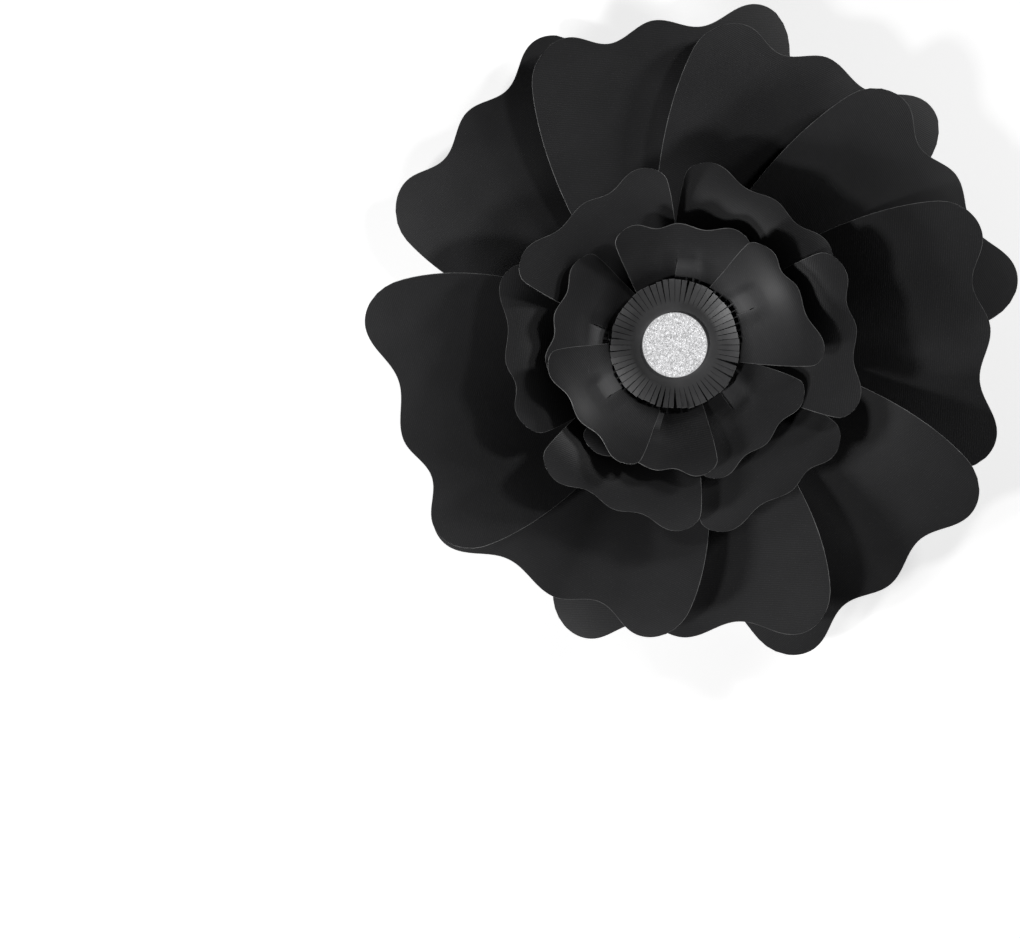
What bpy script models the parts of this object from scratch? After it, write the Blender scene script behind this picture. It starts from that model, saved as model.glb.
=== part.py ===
"""Giant paper flower: three layers of scalloped, slit and lapped card petals glued on card discs,
with a fringed card centre and a glitter disc on top.

The flower lies on its back. The origin is the centre of the back disc's rear face, +Z comes out
of the flower's face, and headings run counter-clockwise from +X. Sizes are in metres, angles in
degrees.
"""
import math

import bmesh
import bpy

COLLECTION_NAME = "giant_paper_flower"

# Card stock and fit
CARD = 0.0004
FIT_GAP = 0.0003
DISC_BOARD = 0.0008

# Discs that the petals and the centre are glued to
BACK_DISC_RADIUS = 0.034
MIDDLE_DISC_RADIUS = 0.017
INNER_DISC_RADIUS = 0.015
DISC_SIDES = 28

# Fringed centre
FRINGE_STRIPS = 60
FRINGE_ROOT_RADIUS = 0.0224
FRINGE_STRIP_LENGTH = 0.0145
FRINGE_BEND = 34.0
FRINGE_BEND_PLAY = 4.0
FRINGE_SLIT_WIDTH = 0.0004

# Glitter disc
GLITTER_RADIUS = 0.0174
GLITTER_BOARD = 0.0010
GLITTER_SIDES = 40

# Angle from a petal's heading at which its edge stands at the layer's full roll height
ROLL_ANGLE = 30.0
ROLL_SOFTNESS = 10.0
ROLL_POWER = 1.3

# Petals of one layer share their form. What differs is set petal by petal below.
OUTER = {
    "name": "outer_petal",
    "reach": 0.174,
    "half_width": 0.070,
    "side_taper": 1.8,
    "base_radius": 0.008,
    "base_half_width": 0.014,
    "flat_radius": 0.022,
    "peak_radius": 0.146,
    "rise": 0.024,
    "roll_height": 0.0145,
    "slit_end": 0.045,
    "slit_lap": 0.0016,
    "lap_side": 1,
    "valley": 0.0078,
    "corner_width": 0.020,
    "corner_length": 0.0235,
    "bow": 0.0003,
    "wave_steps": 3,
    "rows_on_slit": 1,
    "rows_past_slit": 5,
    "level_step": CARD + FIT_GAP,
}
MIDDLE = {
    "name": "middle_petal",
    "reach": 0.094,
    "half_width": 0.045,
    "side_taper": 1.2,
    "base_radius": 0.007,
    "base_half_width": 0.0095,
    "flat_radius": 0.021,
    "peak_radius": 0.092,
    "rise": 0.038,
    "roll_height": 0.0045,
    "slit_end": 0.036,
    "slit_lap": 0.004,
    "lap_side": 1,
    "valley": 0.0033,
    "corner_width": 0.0135,
    "corner_length": 0.0125,
    "bow": 0.0015,
    "wave_steps": 2,
    "rows_on_slit": 1,
    "rows_past_slit": 4,
    "level_step": 2 * (CARD + FIT_GAP),
}
INNER = {
    "name": "inner_petal",
    "reach": 0.068,
    "half_width": 0.036,
    "side_taper": 1.2,
    "base_radius": 0.006,
    "base_half_width": 0.0085,
    "flat_radius": 0.023,
    "peak_radius": 0.073,
    "rise": 0.0365,
    "roll_height": 0.0036,
    "slit_end": 0.047,
    "slit_lap": 0.005,
    "lap_side": -1,
    "valley": 0.0027,
    "corner_width": 0.0105,
    "corner_length": 0.0095,
    "bow": 0.0018,
    "wave_steps": 2,
    "rows_on_slit": 2,
    "rows_past_slit": 3,
    "level_step": 2 * (CARD + FIT_GAP),
}

# Length of the short opening at a slit's end, from which the two flaps start to lap
SLIT_OPENING = 0.004

# Each petal: heading; its counter-clockwise and clockwise half widths as shares of the layer's half
# width; its reach, and the slant of its outer edge towards the clockwise corner, as shares of the
# layer's reach; its level in the glued stack; and whether its counter-clockwise and clockwise edges
# roll up (1) over their neighbours or down (-1) under them
OUTER_PETALS = [
    {"heading": 132, "widths": (0.99, 1.0), "reach": 0.96, "slant": 0.029, "level": 0, "rolls": (-1, -1)},
    {"heading": 94, "widths": (0.955, 1.04), "reach": 1.0, "slant": 0.035, "level": 1, "rolls": (1, -1)},
    {"heading": 62, "widths": (0.94, 1.06), "reach": 1.0, "slant": 0.03, "level": 2, "rolls": (1, -1)},
    {"heading": 31, "widths": (0.945, 1.08), "reach": 1.01, "slant": 0.017, "level": 3, "rolls": (1, -1)},
    {"heading": 3, "widths": (0.985, 1.07), "reach": 0.97, "slant": 0.01, "level": 4, "rolls": (1, -1)},
    {"heading": -48, "widths": (1.06, 1.03), "reach": 0.99, "slant": -0.005, "level": 5, "rolls": (1, -1)},
    {"heading": -88, "widths": (1.105, 1.0), "reach": 0.9, "slant": -0.003, "level": 6, "rolls": (1, -1)},
    {"heading": -116, "widths": (0.98, 1.14), "reach": 0.86, "slant": 0.006, "level": 7, "rolls": (1, -1)},
    {"heading": -161, "widths": (0.98, 1.14), "reach": 0.885, "slant": 0.0, "level": 8, "rolls": (1, 1)},
]
MIDDLE_PETALS = [
    {"heading": 124, "widths": (1.09, 0.99), "reach": 0.95, "slant": 0.011, "level": 1, "rolls": (1, 1)},
    {"heading": 55, "widths": (1.07, 1.0), "reach": 0.985, "slant": 0.0, "level": 0, "rolls": (-1, -1)},
    {"heading": 5, "widths": (0.92, 1.04), "reach": 1.02, "slant": 0.01, "level": 1, "rolls": (1, 1)},
    {"heading": -52, "widths": (0.91, 1.07), "reach": 1.055, "slant": -0.01, "level": 0, "rolls": (-1, -1)},
    {"heading": -111, "widths": (0.99, 1.0), "reach": 1.0, "slant": -0.013, "level": 1, "rolls": (1, 1)},
    {"heading": 186, "widths": (0.88, 1.13), "reach": 0.97, "slant": 0.01, "level": 0, "rolls": (-1, -1)},
]
INNER_PETALS = [
    {"heading": 89, "widths": (0.93, 1.07), "reach": 0.94, "slant": -0.005, "level": 1, "rolls": (1, -1)},
    {"heading": 25, "widths": (0.89, 1.15), "reach": 1.04, "slant": 0.028, "level": 2, "rolls": (1, 1)},
    {"heading": -48, "widths": (1.0, 1.0), "reach": 1.05, "slant": 0.009, "level": 0, "rolls": (-1, -1)},
    {"heading": -100, "widths": (0.89, 1.12), "reach": 1.0, "slant": -0.02, "level": 1, "rolls": (1, -1)},
    {"heading": 218, "widths": (1.03, 1.03), "reach": 0.965, "slant": 0.0, "level": 2, "rolls": (1, 1)},
    {"heading": 166, "widths": (0.93, 0.99), "reach": 0.98, "slant": -0.015, "level": 0, "rolls": (-1, -1)},
]

# Colours in linear light
BLACK_CARD = (0.013, 0.013, 0.014)
BACK_BOARD = (0.020, 0.019, 0.018)
SILVER_GLITTER = (0.62, 0.62, 0.63)


def clear_scene():
    """Remove the objects that a new file starts with."""
    for obj in list(bpy.data.objects):
        bpy.data.objects.remove(obj, do_unlink=True)


def make_material(name, colour, roughness, metallic=0.0):
    """Return a Principled material of one colour."""
    material = bpy.data.materials.new(name)
    material.use_nodes = True
    shader = material.node_tree.nodes["Principled BSDF"]
    shader.inputs["Base Color"].default_value = (*colour, 1.0)
    shader.inputs["Roughness"].default_value = roughness
    shader.inputs["Metallic"].default_value = metallic
    material.diffuse_color = (*colour, 1.0)
    return material


def add_object(name, bm, collection, material):
    """Turn a bmesh into a named object with its material, shaded smooth up to card edges."""
    mesh = bpy.data.meshes.new(name)
    bm.to_mesh(mesh)
    bm.free()
    mesh.shade_smooth()
    mesh.set_sharp_from_angle(angle=math.radians(40.0))
    obj = bpy.data.objects.new(name, mesh)
    obj.data.materials.append(material)
    collection.objects.link(obj)
    return obj


def thicken(obj):
    """Give a sheet the card's thickness, half to each side."""
    solidify = obj.modifiers.new("card", "SOLIDIFY")
    solidify.thickness = CARD
    solidify.offset = 0.0
    solidify.use_even_offset = True


def soft_turn(angle):
    """Return how far an angle is from the petal's heading, eased to nothing at the heading."""
    return math.hypot(angle, ROLL_SOFTNESS) - ROLL_SOFTNESS


def cup_height(layer, radius):
    """Return the height of a layer's cup at a distance from the flower's axis."""
    flat = layer["flat_radius"]
    share = max(0.0, radius - flat) / (layer["peak_radius"] - flat)
    return layer["rise"] * math.sin(0.5 * math.pi * share) ** 2


def cup_slope(layer, radius):
    """Return the cup's slope at a distance from the flower's axis."""
    step = 0.0005
    return (cup_height(layer, radius + step) - cup_height(layer, radius - step)) / (2 * step)


def roll_height(layer, petal, across, along):
    """Return how far a petal's edge is rolled up or down at a point of it."""
    radius = math.hypot(across, along)
    angle = math.degrees(math.atan2(across, along))
    share = max(0.0, radius - layer["flat_radius"]) / (reach(layer, petal) - layer["flat_radius"])
    up_or_down = petal["rolls"][0] if angle > 0 else petal["rolls"][1]
    turn = soft_turn(angle) / soft_turn(ROLL_ANGLE)
    return up_or_down * layer["roll_height"] * turn * share ** ROLL_POWER


def half_width(layer, petal, side):
    """Return a petal's half width on its counter-clockwise (1) or clockwise (-1) side."""
    return layer["half_width"] * petal["widths"][0 if side > 0 else 1]


def reach(layer, petal):
    """Return how far a petal reaches from the flower's axis."""
    return layer["reach"] * petal["reach"]


def outer_edge(layer, petal, column):
    """Return a point (across, along) of a petal's scalloped outer edge.

    Columns count from the middle lobe. Three lobe tips lie one pitch apart, and past the last tip
    the edge turns down a quarter ellipse, of which the outer half belongs to the side.
    """
    steps = layer["wave_steps"]
    last_tip = 2 * steps
    side = math.copysign(1.0, column)
    count = abs(column)
    pitch = half_width(layer, petal, side) - layer["corner_width"]
    across = pitch * min(count, last_tip) / last_tip
    wave = 0.5 * (1.0 - math.cos(math.pi * min(count, last_tip) / steps))
    along = reach(layer, petal) - layer["valley"] * wave
    if count > last_tip:
        turn = math.radians(45.0) * (count - last_tip) / 2
        across += layer["corner_width"] * math.sin(turn)
        along -= layer["corner_length"] * (1.0 - math.cos(turn))
    lean = across / pitch
    along -= layer["bow"] * lean ** 2
    along -= side * layer["reach"] * petal["slant"] * lean
    return side * across, along


def side_width(layer, petal, side, along):
    """Return one side's half width at a distance along the petal, up to its corner."""
    widest = reach(layer, petal) - layer["corner_length"]
    full = half_width(layer, petal, side)
    if along > widest:
        turn = (along - widest) / layer["corner_length"]
        return full - layer["corner_width"] * (1.0 - math.sqrt(1.0 - turn ** 2))
    share = (widest - along) / (widest - layer["base_radius"])
    return full - (full - layer["base_half_width"]) * share ** layer["side_taper"]


def row_places(layer, petal):
    """Return the places along a petal where its rows of points lie, base first."""
    corner = reach(layer, petal) - layer["corner_length"] * (1.0 - math.cos(math.radians(45.0)))
    places = [layer["base_radius"], layer["flat_radius"]]
    count = layer["rows_on_slit"]
    slit_run = layer["slit_end"] - SLIT_OPENING - layer["flat_radius"]
    for row in range(1, count + 1):
        places.append(layer["flat_radius"] + slit_run * row / count)
    places.append(layer["slit_end"])
    count = layer["rows_past_slit"]
    for row in range(1, count + 1):
        share = row / count
        places.append(layer["slit_end"] + (corner - layer["slit_end"]) * share ** 0.9)
    return places


def row_side(layer, petal, side, place, roundness):
    """Return where a row of points meets one side, as half width and distance along.

    A row of roundness 1 is an arc about the flower's axis and one of roundness 0 is straight.
    """
    low, high = 0.0, place
    for _ in range(30):
        along = 0.5 * (low + high)
        width = side_width(layer, petal, side, along)
        arc = math.sqrt(max(place ** 2 - width ** 2, 0.0))
        if along < roundness * arc + (1.0 - roundness) * place:
            low = along
        else:
            high = along
    return side_width(layer, petal, side, along), along


def row_sag(place, across, width):
    """Return how far a row has curved back at a distance across, as a share of that at its side."""
    if width >= place:
        return (across / width) ** 2
    return (place - math.sqrt(place ** 2 - across ** 2)) / (place - math.sqrt(place ** 2 - width ** 2))


def petal_point(layer, petal, places, row, column, flap):
    """Return where a petal's grid point lies, in the petal's own directions.

    The flap is 1 or -1 for the two free edges of the slit and 0 elsewhere. Each free edge passes
    under or over the other, except in the short opening at the slit's end.
    """
    last_column = 2 * layer["wave_steps"] + 2
    side = -1 if column < 0 else 1
    edge_across, edge_along = outer_edge(layer, petal, column)
    corner_across = abs(outer_edge(layer, petal, side * last_column)[0])
    place = places[row]
    base, slit_end, corner = places[0], layer["slit_end"], places[-1]
    slit_row = place < slit_end - 1e-6
    if row == 0:
        roundness = 0.0
    else:
        roundness = min(1.0, (corner - place) / (corner - slit_end))
    width, side_along = row_side(layer, petal, side, place, roundness)
    across = width * edge_across / corner_across
    along = place - (place - side_along) * row_sag(place, across, width)
    if row > 0:
        along += (edge_along - corner) * (1.0 - roundness)
    if slit_row and flap:
        lap_share = (slit_end - SLIT_OPENING - place) / (slit_end - SLIT_OPENING - base)
        across -= flap * (layer["slit_lap"] * lap_share - 0.5 * FIT_GAP * (1.0 - lap_share))
    radius = math.hypot(across, along)
    steepness = math.hypot(1.0, cup_slope(layer, radius))
    height = cup_height(layer, radius) + roll_height(layer, petal, across, along)
    height += petal["level"] * layer["level_step"] * steepness
    half = flap if flap else (column > 0) - (column < 0)
    if slit_row and half == layer["lap_side"]:
        past_flat = max(0.0, place - layer["flat_radius"]) / (slit_end - layer["flat_radius"])
        fade = 1.0 - past_flat * (column / last_column) ** 2
        height += (CARD + FIT_GAP) * steepness * fade
    return across, along, height


def make_petal(layer, petal, number, stack_height, collection, material):
    """Make one petal from a grid that is slit at its base and bent into the layer's cup."""
    places = row_places(layer, petal)
    half_columns = 2 * layer["wave_steps"] + 2
    rows = len(places) - 1
    bm = bmesh.new()
    bmesh.ops.create_grid(bm, x_segments=2 * half_columns, y_segments=rows, size=1.0)
    last_slit_row = places.index(layer["slit_end"])

    def grid_place(vertex):
        return round((vertex.co.y + 1.0) * rows / 2), round(vertex.co.x * half_columns)

    slit = []
    for edge in bm.edges:
        ends = [grid_place(vertex) for vertex in edge.verts]
        if all(column == 0 for _, column in ends) and max(row for row, _ in ends) <= last_slit_row:
            slit.append(edge)
    bmesh.ops.split_edges(bm, edges=slit)

    heading = math.radians(petal["heading"])
    targets = []
    for vertex in bm.verts:
        row, column = grid_place(vertex)
        flap = 0
        if column == 0 and row < last_slit_row:
            flap = 1 if vertex.link_faces[0].calc_center_median().x > 0 else -1
        across, along, height = petal_point(layer, petal, places, row, -column, -flap)
        x = along * math.cos(heading) - across * math.sin(heading)
        y = along * math.sin(heading) + across * math.cos(heading)
        targets.append((vertex, (x, y, stack_height + height)))
    for vertex, target in targets:
        vertex.co = target
    obj = add_object(f"{layer['name']}_{number}", bm, collection, material)
    thicken(obj)
    return obj


def make_layer(layer, petals, stack_height, collection, material):
    """Make a layer's petals in their glued order and return the height of the stack's top."""
    for number, petal in enumerate(petals, start=1):
        make_petal(layer, petal, number, stack_height, collection, material)
    highest = max(petal["level"] for petal in petals)
    flap_lift = CARD + FIT_GAP
    return stack_height + highest * layer["level_step"] + flap_lift + 0.5 * CARD


def make_disc(name, radius, thickness, bottom, sides, collection, material):
    """Make a flat round disc with its lower face at a height."""
    bm = bmesh.new()
    bmesh.ops.create_cone(bm, cap_ends=True, segments=sides, radius1=radius, radius2=radius, depth=thickness)
    bmesh.ops.translate(bm, verts=bm.verts, vec=(0.0, 0.0, bottom + 0.5 * thickness))
    return add_object(name, bm, collection, material)


def fringe_bend(strip):
    """Return how far a strip is bent up. Neighbouring strips lie in loose groups."""
    turn = 2 * math.pi * strip / FRINGE_STRIPS
    return FRINGE_BEND + FRINGE_BEND_PLAY * (math.sin(3 * turn + 0.6) + 0.5 * math.sin(11 * turn))


def make_fringe(height, collection, material):
    """Make the centre: a disc whose rim is slit into strips that are bent up."""
    bm = bmesh.new()
    bmesh.ops.create_circle(bm, cap_ends=True, segments=FRINGE_STRIPS, radius=FRINGE_ROOT_RADIUS)
    rim = [edge for edge in bm.edges if edge.is_boundary]
    grown = bmesh.ops.extrude_edge_only(bm, edges=rim)["geom"]
    tips = [item for item in grown if isinstance(item, bmesh.types.BMVert)]
    tip_radius = FRINGE_ROOT_RADIUS + FRINGE_STRIP_LENGTH
    for vertex in tips:
        vertex.co *= tip_radius / FRINGE_ROOT_RADIUS
    middle = 0.5 * (FRINGE_ROOT_RADIUS + tip_radius)
    slits = []
    for edge in bm.edges:
        centre = 0.5 * (edge.verts[0].co + edge.verts[1].co)
        if len(edge.link_faces) == 2 and abs(centre.length - middle) < 0.2 * FRINGE_STRIP_LENGTH:
            slits.append(edge)
    bmesh.ops.split_edges(bm, edges=slits)

    pitch = 2 * math.pi / FRINGE_STRIPS
    targets = []
    for vertex in bm.verts:
        if vertex.co.length < middle:
            continue
        face_centre = vertex.link_faces[0].calc_center_median()
        strip_turn = math.atan2(face_centre.y, face_centre.x)
        strip = round(strip_turn / pitch - 0.5) % FRINGE_STRIPS
        bend = math.radians(fringe_bend(strip))
        radius = FRINGE_ROOT_RADIUS * math.cos(0.5 * pitch) + FRINGE_STRIP_LENGTH * math.cos(bend)
        own_turn = math.atan2(vertex.co.y, vertex.co.x)
        side = math.copysign(1.0, math.sin(own_turn - strip_turn))
        half_width = radius * math.tan(0.5 * pitch) - 0.5 * FRINGE_SLIT_WIDTH
        x = radius * math.cos(strip_turn) - side * half_width * math.sin(strip_turn)
        y = radius * math.sin(strip_turn) + side * half_width * math.cos(strip_turn)
        targets.append((vertex, (x, y, FRINGE_STRIP_LENGTH * math.sin(bend))))
    for vertex, target in targets:
        vertex.co = target
    bmesh.ops.translate(bm, verts=bm.verts, vec=(0.0, 0.0, height + 0.5 * CARD))
    bmesh.ops.recalc_face_normals(bm, faces=bm.faces)
    obj = add_object("fringed_centre", bm, collection, material)
    thicken(obj)
    return height + CARD


def build_flower():
    """Build the flower from its back disc up to its glitter disc."""
    clear_scene()
    collection = bpy.data.collections.new(COLLECTION_NAME)
    bpy.context.scene.collection.children.link(collection)
    card = make_material("black_card", BLACK_CARD, 0.6)
    board = make_material("back_board", BACK_BOARD, 0.8)
    glitter = make_material("silver_glitter", SILVER_GLITTER, 0.35, metallic=0.6)

    make_disc("back_disc", BACK_DISC_RADIUS, DISC_BOARD, 0.0, DISC_SIDES, collection, board)
    stack = DISC_BOARD + FIT_GAP + 0.5 * CARD
    top = make_layer(OUTER, OUTER_PETALS, stack, collection, card)

    disc_bottom = top + FIT_GAP
    make_disc("middle_disc", MIDDLE_DISC_RADIUS, DISC_BOARD, disc_bottom, DISC_SIDES, collection, board)
    stack = disc_bottom + DISC_BOARD + FIT_GAP + 0.5 * CARD
    top = make_layer(MIDDLE, MIDDLE_PETALS, stack, collection, card)

    disc_bottom = top + FIT_GAP
    make_disc("inner_disc", INNER_DISC_RADIUS, DISC_BOARD, disc_bottom, DISC_SIDES, collection, board)
    stack = disc_bottom + DISC_BOARD + FIT_GAP + 0.5 * CARD
    top = make_layer(INNER, INNER_PETALS, stack, collection, card)

    top = make_fringe(top + FIT_GAP, collection, card)
    make_disc("glitter_disc", GLITTER_RADIUS, GLITTER_BOARD, top + FIT_GAP, GLITTER_SIDES, collection, glitter)


build_flower()
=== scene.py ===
"""Giant paper flower of black embossed card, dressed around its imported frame.

Each layer's petals are cut flat, slit at the base, lapped and bent into a cup. The centre is a
fringed disc with a glitter disc on top. Sizes are in metres and headings in degrees, counted
counter-clockwise from +X.
"""

import math
import random
from collections import namedtuple

import bmesh
import bpy
from mathutils import Matrix, Vector


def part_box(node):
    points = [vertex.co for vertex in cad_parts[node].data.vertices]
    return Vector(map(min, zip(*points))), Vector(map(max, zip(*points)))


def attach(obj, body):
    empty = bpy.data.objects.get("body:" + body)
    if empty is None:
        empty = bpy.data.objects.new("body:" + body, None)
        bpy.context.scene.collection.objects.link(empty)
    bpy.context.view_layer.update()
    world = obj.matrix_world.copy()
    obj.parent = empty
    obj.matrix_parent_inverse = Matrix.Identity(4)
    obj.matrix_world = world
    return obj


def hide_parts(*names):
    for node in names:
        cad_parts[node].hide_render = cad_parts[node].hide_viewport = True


bl_info = {
    "name": "Giant paper flower",
    "version": (1, 0, 0),
    "blender": (4, 5, 0),
    "location": "3D View > Sidebar > Flower",
    "description": "Makes a layered flower of scalloped card petals with a fringed centre",
    "category": "Add Mesh",
}

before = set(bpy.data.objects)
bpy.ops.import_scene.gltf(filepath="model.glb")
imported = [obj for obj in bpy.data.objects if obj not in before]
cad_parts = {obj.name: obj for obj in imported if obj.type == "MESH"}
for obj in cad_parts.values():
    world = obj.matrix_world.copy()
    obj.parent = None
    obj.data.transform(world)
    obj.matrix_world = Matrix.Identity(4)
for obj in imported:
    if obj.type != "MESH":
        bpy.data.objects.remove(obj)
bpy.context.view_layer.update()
ROOT = "root"

# Glued pieces lie this far apart, and lengths closer than TINY count as equal
GLUE_GAP = 0.0003
TINY = 1e-6

# Each petal: heading; its counter-clockwise and clockwise half widths as shares of the layer's half
# width; its reach, and the slant of its outer edge towards the clockwise corner, as shares of the
# layer's reach; its level in the glued stack; and whether its counter-clockwise and clockwise edges
# roll up (1) or down (-1)
PetalRow = namedtuple("PetalRow", "heading ccw_width cw_width reach slant level ccw_roll cw_roll")
OUTER_PETALS = [
    PetalRow(132, 0.99, 1.0, 0.96, 0.029, 0, -1, -1),
    PetalRow(94, 0.955, 1.04, 1.0, 0.035, 1, 1, -1),
    PetalRow(62, 0.94, 1.06, 1.0, 0.03, 2, 1, -1),
    PetalRow(31, 0.945, 1.08, 1.01, 0.017, 3, 1, -1),
    PetalRow(3, 0.985, 1.07, 0.97, 0.01, 4, 1, -1),
    PetalRow(-48, 1.06, 1.03, 0.99, -0.005, 5, 1, -1),
    PetalRow(-88, 1.105, 1.0, 0.9, -0.003, 6, 1, -1),
    PetalRow(-116, 0.98, 1.14, 0.86, 0.006, 7, 1, -1),
    PetalRow(-161, 0.98, 1.14, 0.885, 0.0, 8, 1, 1),
]
MIDDLE_PETALS = [
    PetalRow(124, 1.09, 0.99, 0.95, 0.011, 1, 1, 1),
    PetalRow(55, 1.07, 1.0, 0.985, 0.0, 0, -1, -1),
    PetalRow(5, 0.92, 1.04, 1.02, 0.01, 1, 1, 1),
    PetalRow(-52, 0.91, 1.07, 1.055, -0.01, 0, -1, -1),
    PetalRow(-111, 0.99, 1.0, 1.0, -0.013, 1, 1, 1),
    PetalRow(186, 0.88, 1.13, 0.97, 0.01, 0, -1, -1),
]
INNER_PETALS = [
    PetalRow(89, 0.93, 1.07, 0.94, -0.005, 1, 1, -1),
    PetalRow(25, 0.89, 1.15, 1.04, 0.028, 2, 1, 1),
    PetalRow(-48, 1.0, 1.0, 1.05, 0.009, 0, -1, -1),
    PetalRow(-100, 0.89, 1.12, 1.0, -0.02, 1, 1, -1),
    PetalRow(218, 1.03, 1.03, 0.965, 0.0, 2, 1, 1),
    PetalRow(166, 0.93, 0.99, 0.98, -0.015, 0, -1, -1),
]

# Which side of each inner petal's slit is pressed flat, 1 counter-clockwise or -1 clockwise, and
# how strong the painted highlight on that flap is, which stands in for the light the flat flap catches
PRESSED_FLAPS = [(-1, 0.35), (1, 0.15), (1, 0.7), (-1, 0.6), (-1, 0.4), (1, 1.0)]
NO_FLAP = (0, 0.0)
PRESS_WIDTH = 0.009
PRESS_END = 0.055

# How a petal's edges roll: the angle from its heading at which the layer's roll height is
# reached, how softly the roll starts, and how it grows outwards
ROLL_ANGLE = 30.0
ROLL_SOFTNESS = 10.0
ROLL_POWER = 1.3

# The lap runs out this far before the slit's end, and past there the slit stands open
SLIT_OPENING = 0.004

# A petal's corner is an eighth of an ellipse, two columns of the cut wide
CORNER_TURN = math.radians(45.0)
CORNER_COLUMNS = 2

# Grid of a petal: rows in its flat base, beside its slit and in its cup, the parts that each
# column of the cut is split into, the share of a column beside the slit, and the strip along an edge
FLAT_ROWS = 4
SLIT_ROWS = 10
CUP_ROWS = 25
COLUMN_PARTS = 5
SEAM_COLUMN = 0.2
EDGE_STRIP = 0.0003
HALVINGS = 24
SLOPE_STEP = 0.0005
SHARP_ANGLE = math.radians(40.0)

# Fringe: rows along a strip, the cuts that stand open, how far the strips' bends, sides, twists and
# lengths differ, and how a strip's bend starts and grows along it
FRINGE_STEPS = 6
WIDE_CUTS = (13, 17, 42, 43, 45, 57)
BEND_PLAY = math.radians(4.0)
STRIP_LEAN = 0.02
STRIP_TWIST = 0.10
SHORTEST_STRIP = 0.96
BEND_START = 0.35
BEND_GROWTH = 1.3
FRINGE_SEED = 7

# Board discs and the glitter disc: sides, rim rounding, and how the flakes differ
BOARD_SIDES = 96
GLITTER_SIDES = 120
GLITTER_RIM = 0.0002
GLITTER_BOARD_TONE = 0.45
FLAKE_SIZES = (0.55, 1.15)
FLAKE_TILT = 0.20
FLAKE_LIFT = 0.00012
FLAKE_CORNERS = 6
FLAKE_SEED = 11

# Shares of a noise texture's range that are used, and the pitch of a wave texture's bands at scale 1
WHOLE = (0.0, 1.0)
NOISE_SPAN = (0.2, 0.8)
PATCH_SPAN = (0.3, 0.7)
WAVE_PITCH = 2 * math.pi / 20
BOARD_TOOTH = 0.00006

# Lamps: name, heading, tilt from straight overhead and the setting that holds the power
LAMPS = [
    ("key_lamp", 212.0, 54.0, "key"),
    ("far_lamp", 38.0, 54.0, "far"),
    ("low_key_lamp", 212.0, 73.0, "low_key"),
    ("low_far_lamp", 30.0, 73.0, "low_far"),
]
LAMP_SIZE = 0.18
LAMP_DISTANCE = 1.5
FLOOR_HALF_WIDTH = 12.0
FLOOR_GLOW = 0.60
WHITE = (1.0, 1.0, 1.0, 1.0)

# Camera: the picture's width and height, the picture element where the flower's axis lies, the
# size of one at the height of the petals, and how far above that height the camera stands
PICTURE_WIDTH = 1020
PICTURE_HEIGHT = 938
AXIS_COLUMN = 675.5
AXIS_ROW = 344.5
ELEMENT_SIZE = 0.000534
PETAL_HEIGHT = 0.03
CAMERA_DISTANCE = 3.0
SENSOR_WIDTH = 36.0


def metres(name, default, description):
    """Return a length property in metres."""
    return bpy.props.FloatProperty(
        name=name, default=default, description=description, min=0.0, precision=5,
        subtype="DISTANCE", unit="LENGTH",
    )


def number(name, default, description):
    """Return a plain number property."""
    return bpy.props.FloatProperty(name=name, default=default, description=description, min=0.0)


def count(name, default, description, low, high):
    """Return a property that counts pieces."""
    return bpy.props.IntProperty(
        name=name, default=default, description=description, min=low, max=high,
    )


def angle(name, degrees, description):
    """Return an angle property from degrees."""
    return bpy.props.FloatProperty(
        name=name, default=math.radians(degrees), description=description,
        subtype="ANGLE", unit="ROTATION",
    )


def colour(name, default, description):
    """Return a colour property in linear light."""
    return bpy.props.FloatVectorProperty(
        name=name, default=default, description=description, size=3, min=0.0, max=1.0,
        subtype="COLOR",
    )


def watts(name, default, description):
    """Return a lamp's power property in watts."""
    return bpy.props.FloatProperty(
        name=name, default=default, description=description, min=0.0,
        subtype="POWER", unit="POWER",
    )


class OuterLayer(bpy.types.PropertyGroup):
    """Cut and cup of the nine outer petals."""

    reach: metres("Reach", 0.174, "Distance of the petals' tips from the axis")
    half_width: metres("Half width", 0.070, "Half width of a petal")
    side_taper: number("Side taper", 1.8, "How late a petal's sides narrow towards its base")
    base_radius: metres("Base", 0.008, "Distance of a petal's base from the axis")
    base_half_width: metres("Base half width", 0.014, "Half width of a petal's base")
    flat_radius: metres("Flat", 0.022, "Radius up to which the layer lies flat on its disc")
    peak_radius: metres("Peak", 0.146, "Radius at which the cup stops rising")
    rise: metres("Rise", 0.024, "Height of the cup")
    roll_height: metres("Roll", 0.0145, "How far a petal's sides roll up or down")
    slit_end: metres("Slit", 0.045, "Distance of the slit's end from the axis")
    slit_lap: metres("Lap", 0.0016, "How far each side of the slit laps at the base")
    valley: metres("Valley", 0.0078, "Depth of the scallops")
    corner_width: metres("Corner width", 0.020, "Width of a corner's rounding")
    corner_length: metres("Corner length", 0.0235, "Length of a corner's rounding")
    bow: metres("Bow", 0.0003, "How far the corners lie back from the middle")


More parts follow.
